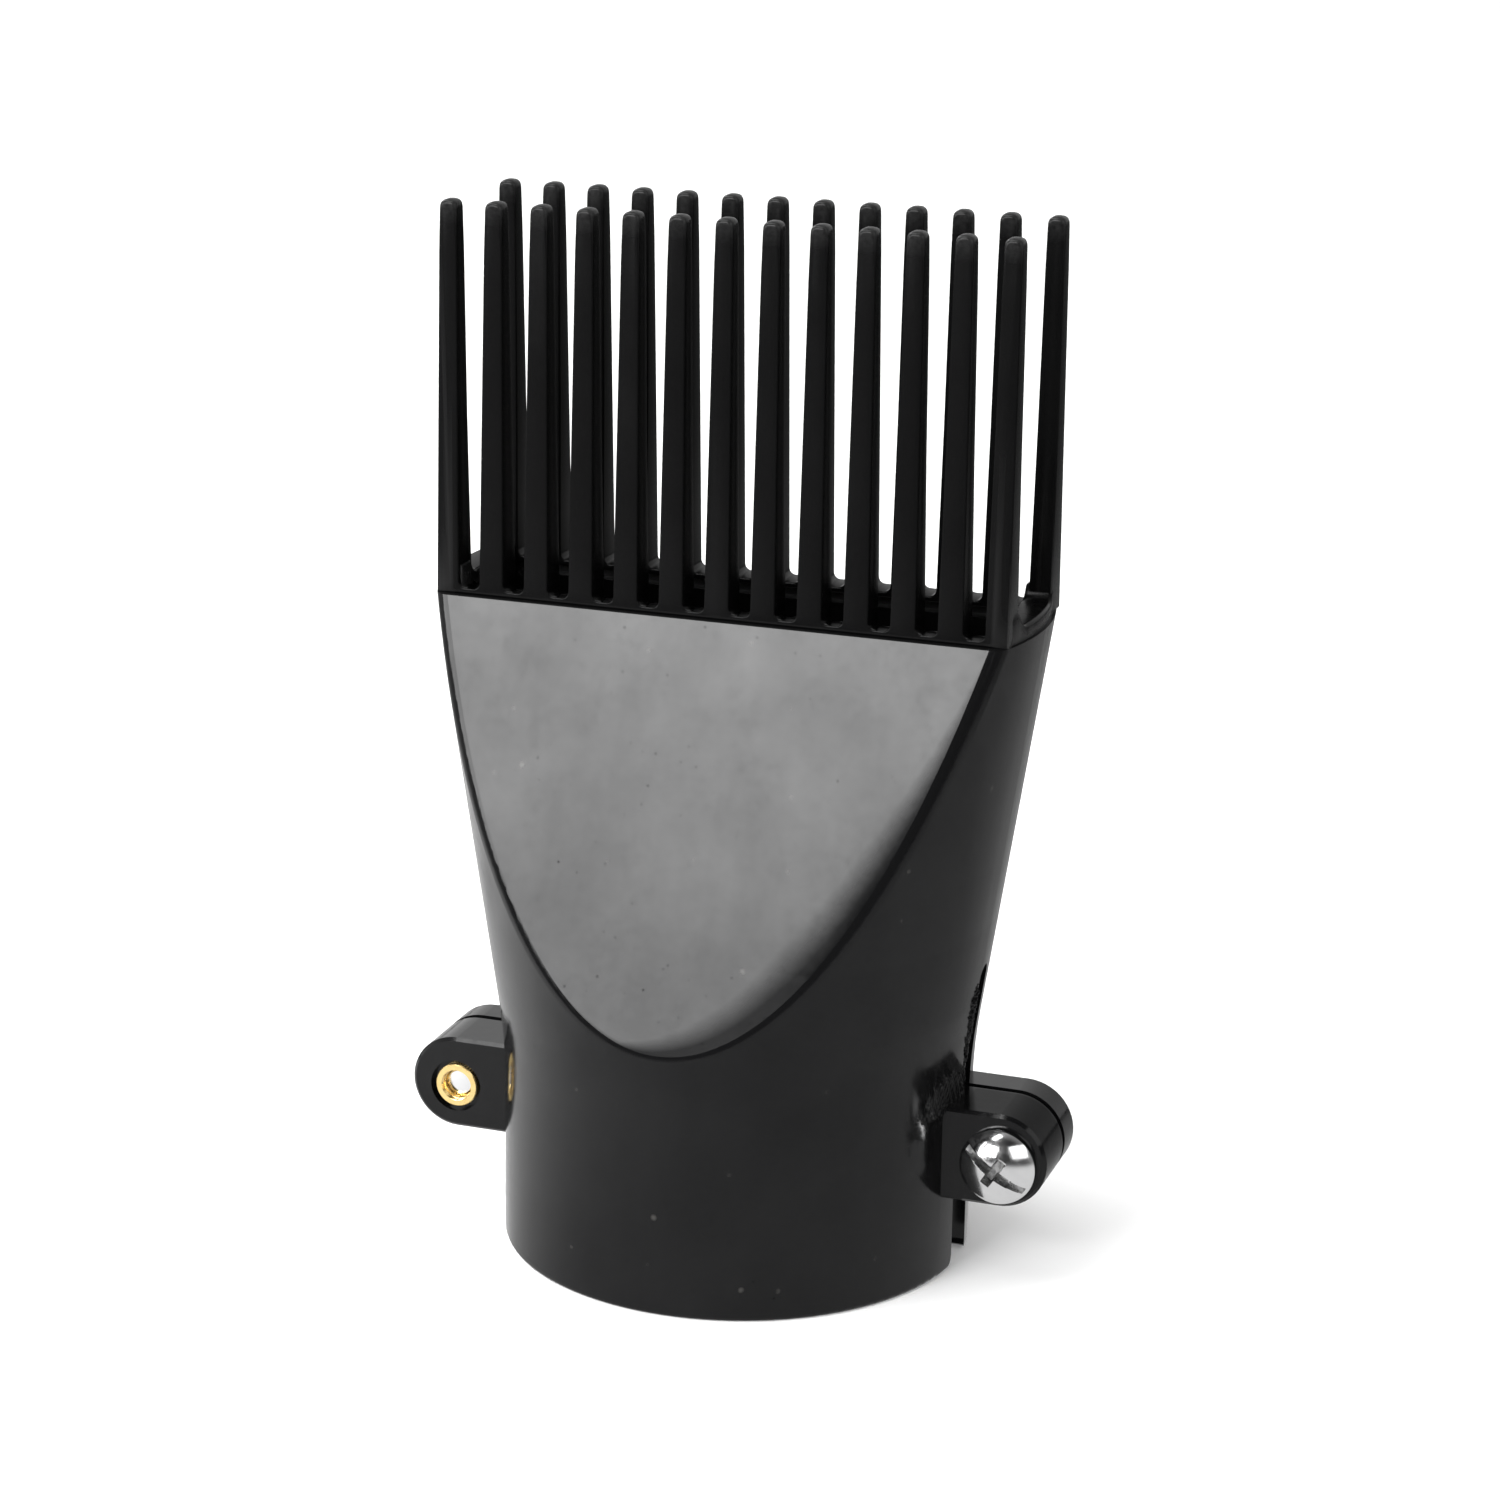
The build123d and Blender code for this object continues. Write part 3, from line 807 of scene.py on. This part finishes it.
def world():
    scene_world = bpy.data.worlds.new("studio")
    bpy.context.scene.world = scene_world
    n = Nodes(scene_world)
    out = n.add("ShaderNodeOutputWorld")
    plain = n.add("ShaderNodeBackground")
    plain.inputs["Color"].default_value = (1, 1, 1, 1)
    seen = n.add("ShaderNodeBackground")
    direction = n.add("ShaderNodeTexCoord").outputs["Generated"]
    split = n.add("ShaderNodeSeparateXYZ")
    n.link(direction, split.inputs[0])
    turn = n.math("SUBTRACT", split.outputs["Y"], n.math("MULTIPLY", split.outputs["X"], 0.15))
    level = n.math("MULTIPLY", n.remap(turn, -0.5, 0.45, 0.04, 1.0),
                   n.remap(split.outputs["X"], -0.9, 0.3, 1.7, 0.72))
    n.link(level, seen.inputs["Strength"])
    n.link(n.remap(split.outputs["X"], -0.9, 0.9, 1.4, 0.25), plain.inputs["Strength"])
    ray = n.add("ShaderNodeLightPath")
    mix = n.add("ShaderNodeMixShader")
    n.link(ray.outputs["Is Glossy Ray"], mix.inputs[0])
    n.link(plain.outputs[0], mix.inputs[1])
    n.link(seen.outputs[0], mix.inputs[2])
    n.link(mix.outputs[0], out.inputs[0])


def area_light(name, direction, distance, width, height, radiance, target=(0, 0, 0.05)):
    """Rectangular softbox of the given radiance, facing target from a direction."""
    data = bpy.data.lights.new(name, "AREA")
    data.shape = "RECTANGLE"
    data.size = width
    data.size_y = height
    data.energy = radiance * math.pi * width * height
    obj = bpy.data.objects.new(name, data)
    bpy.context.scene.collection.objects.link(obj)
    d = Vector(direction).normalized()
    obj.location = Vector(target) + d * distance
    obj.rotation_euler = d.to_track_quat("Z", "Y").to_euler()
    return obj


def softbox_front():
    """Large front softbox whose glow fades from its upper left to its lower right."""
    obj = area_light("softbox_front", (-0.314, -0.874, 0.373), 0.9, 0.36, 0.36, 14.0)
    n = Nodes(obj.data, clear=False)
    glow = n.tree.nodes["Emission"]
    where = n.add("ShaderNodeNewGeometry").outputs["Parametric"]
    split = n.add("ShaderNodeSeparateXYZ")
    n.link(where, split.inputs[0])
    across = n.math("MULTIPLY", split.outputs["X"], 0.12)
    up = n.math("MULTIPLY", split.outputs["Y"], 0.98)
    n.link(n.math("SUBTRACT", n.math("ADD", up, 0.5), across), glow.inputs["Strength"])


floor()
world()
softbox_front()
area_light("softbox_side", (-0.74, -0.66, 0.25), 0.9, 0.52, 0.26, 9.0)
area_light("softbox_top", (-0.31, -0.3, 0.9), 0.8, 0.4, 0.3, 8.0)
area_light("softbox_right", (0.76, -0.56, 0.48), 0.9, 0.8, 0.5, 1.6)
area_light("softbox_left", (-0.75, 0.25, 0.75), 1.2, 0.5, 0.5, 10.0)


# ---------------------------------------------------------------- camera
def camera():
    azimuth, turn_off = 19.0, 0.097
    pitch = math.radians(16.78)
    roll = math.radians(0.862)
    away, height = 0.38967, 0.17114
    yaw = math.radians(azimuth - turn_off)
    around = math.radians(azimuth)
    place_at = Vector((away * math.sin(around), -away * math.cos(around), height))
    forward = Vector((-math.sin(yaw) * math.cos(pitch), math.cos(yaw) * math.cos(pitch), -math.sin(pitch)))
    right = Vector((math.cos(yaw), math.sin(yaw), 0))
    up = right.cross(forward)
    right_r = math.cos(roll) * right + math.sin(roll) * up
    up_r = -math.sin(roll) * right + math.cos(roll) * up
    data = bpy.data.cameras.new("camera")
    data.sensor_width = 36
    data.lens = 93.53
    data.clip_start = 0.01
    obj = bpy.data.objects.new("camera", data)
    bpy.context.scene.collection.objects.link(obj)
    turn = Matrix((right_r, up_r, -forward)).transposed()
    obj.matrix_world = Matrix.Translation(place_at) @ turn.to_4x4()
    bpy.context.scene.camera = obj


camera()
bpy.context.scene.view_settings.view_transform = "Standard"
bpy.context.scene.view_settings.look = "None"
